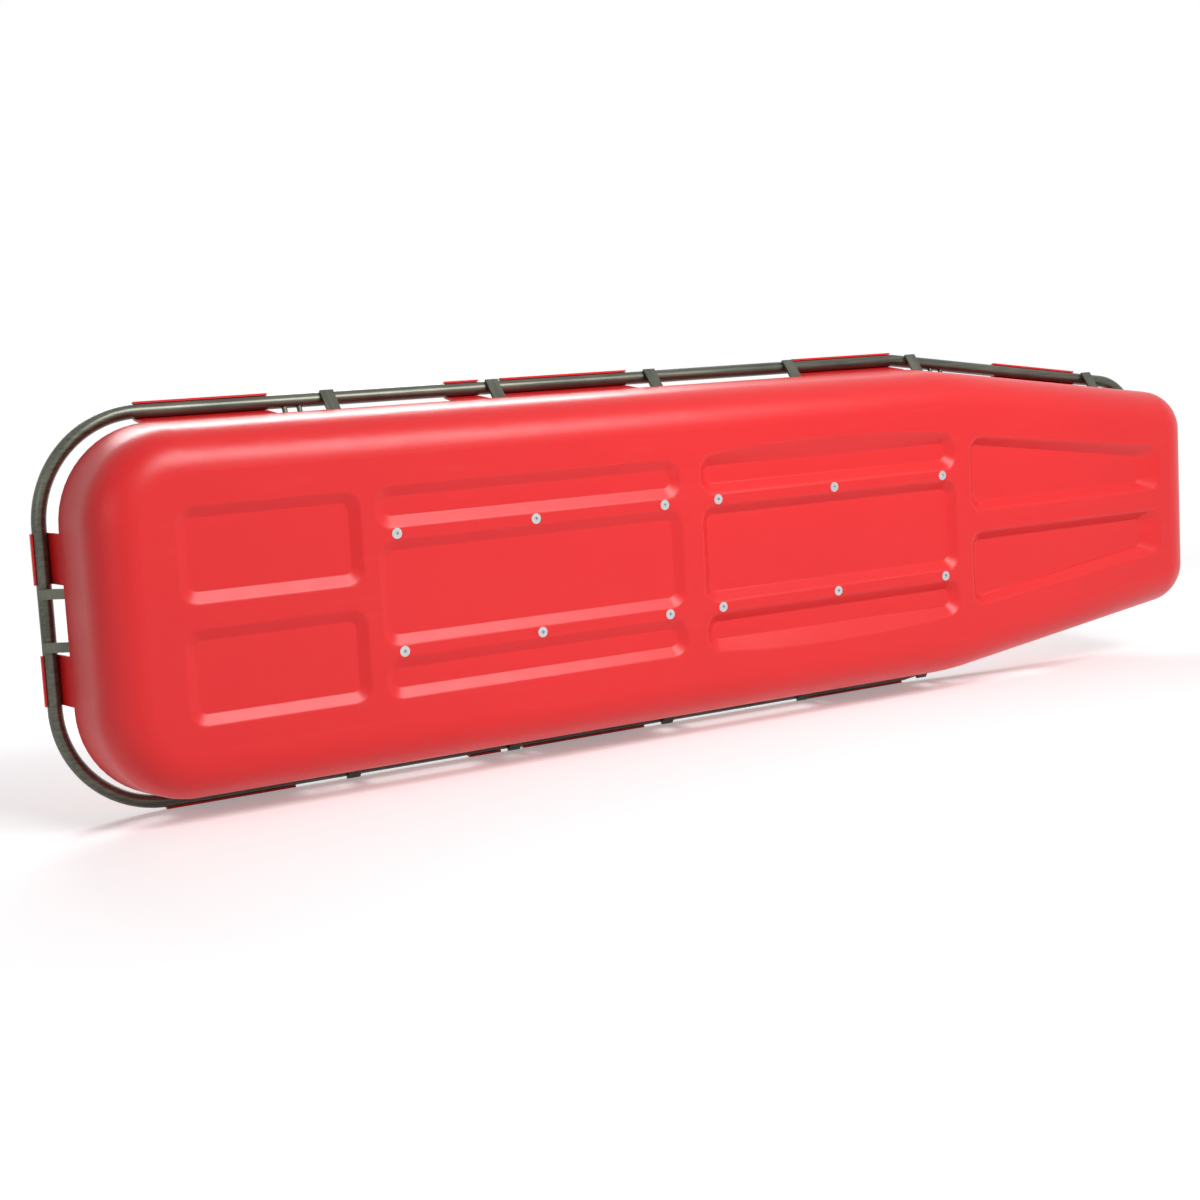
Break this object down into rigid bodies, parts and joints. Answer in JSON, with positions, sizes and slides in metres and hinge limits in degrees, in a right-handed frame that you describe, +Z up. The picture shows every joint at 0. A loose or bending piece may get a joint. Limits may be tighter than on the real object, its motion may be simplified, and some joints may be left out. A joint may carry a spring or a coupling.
{
  "type": "rescue stretcher",
  "caption": "Basket rescue stretcher: a tapered moulded plastic shell with pressed-in panels, hung in a welded frame of steel tube.",
  "frame": {"origin": "middle of the stretcher in plan, on the plane of the bottom ribs that it rests on", "axes": "+X towards the foot end, -X the head end, +Y across, +Z up out of the open basket"},
  "size_m": [2.184, 0.5986, 0.1895],
  "materials": {
    "red_plastic": "moulded polyethylene, smooth, with light scuffs",
    "rail_steel": "drawn stainless tube, satin, darker at the welds",
    "frame_steel": "rolled stainless flat bar and rod",
    "bar_aluminium": "extruded aluminium bar, mill finish",
    "screw_steel": "turned stainless steel"
  },
  "bodies": {
    "root": {"foot_bar_left": "frame_steel", "foot_bar_right": "frame_steel", "frame_rib_1": "frame_steel", "frame_rib_2": "frame_steel", "frame_rib_3": "frame_steel", "frame_rib_4": "frame_steel", "frame_rib_5": "frame_steel", "frame_rib_6": "frame_steel", "head_bar_left": "frame_steel", "head_bar_right": "frame_steel", "lifting_eye_foot_left": "frame_steel", "lifting_eye_foot_right": "frame_steel", "lifting_eye_head_left": "frame_steel", "lifting_eye_head_right": "frame_steel", "rail_foot": "rail_steel", "rail_head": "rail_steel", "rail_side_left": "rail_steel", "rail_side_right": "rail_steel", "rail_taper_left": "rail_steel", "rail_taper_right": "rail_steel", "screws_foot_left": "screw_steel", "screws_foot_right": "screw_steel", "screws_head_left": "screw_steel", "screws_head_right": "screw_steel", "shell": "red_plastic", "stiffener_foot_left": "bar_aluminium", "stiffener_foot_right": "bar_aluminium", "stiffener_head_left": "bar_aluminium", "stiffener_head_right": "bar_aluminium"}
  },
  "joints": []
}
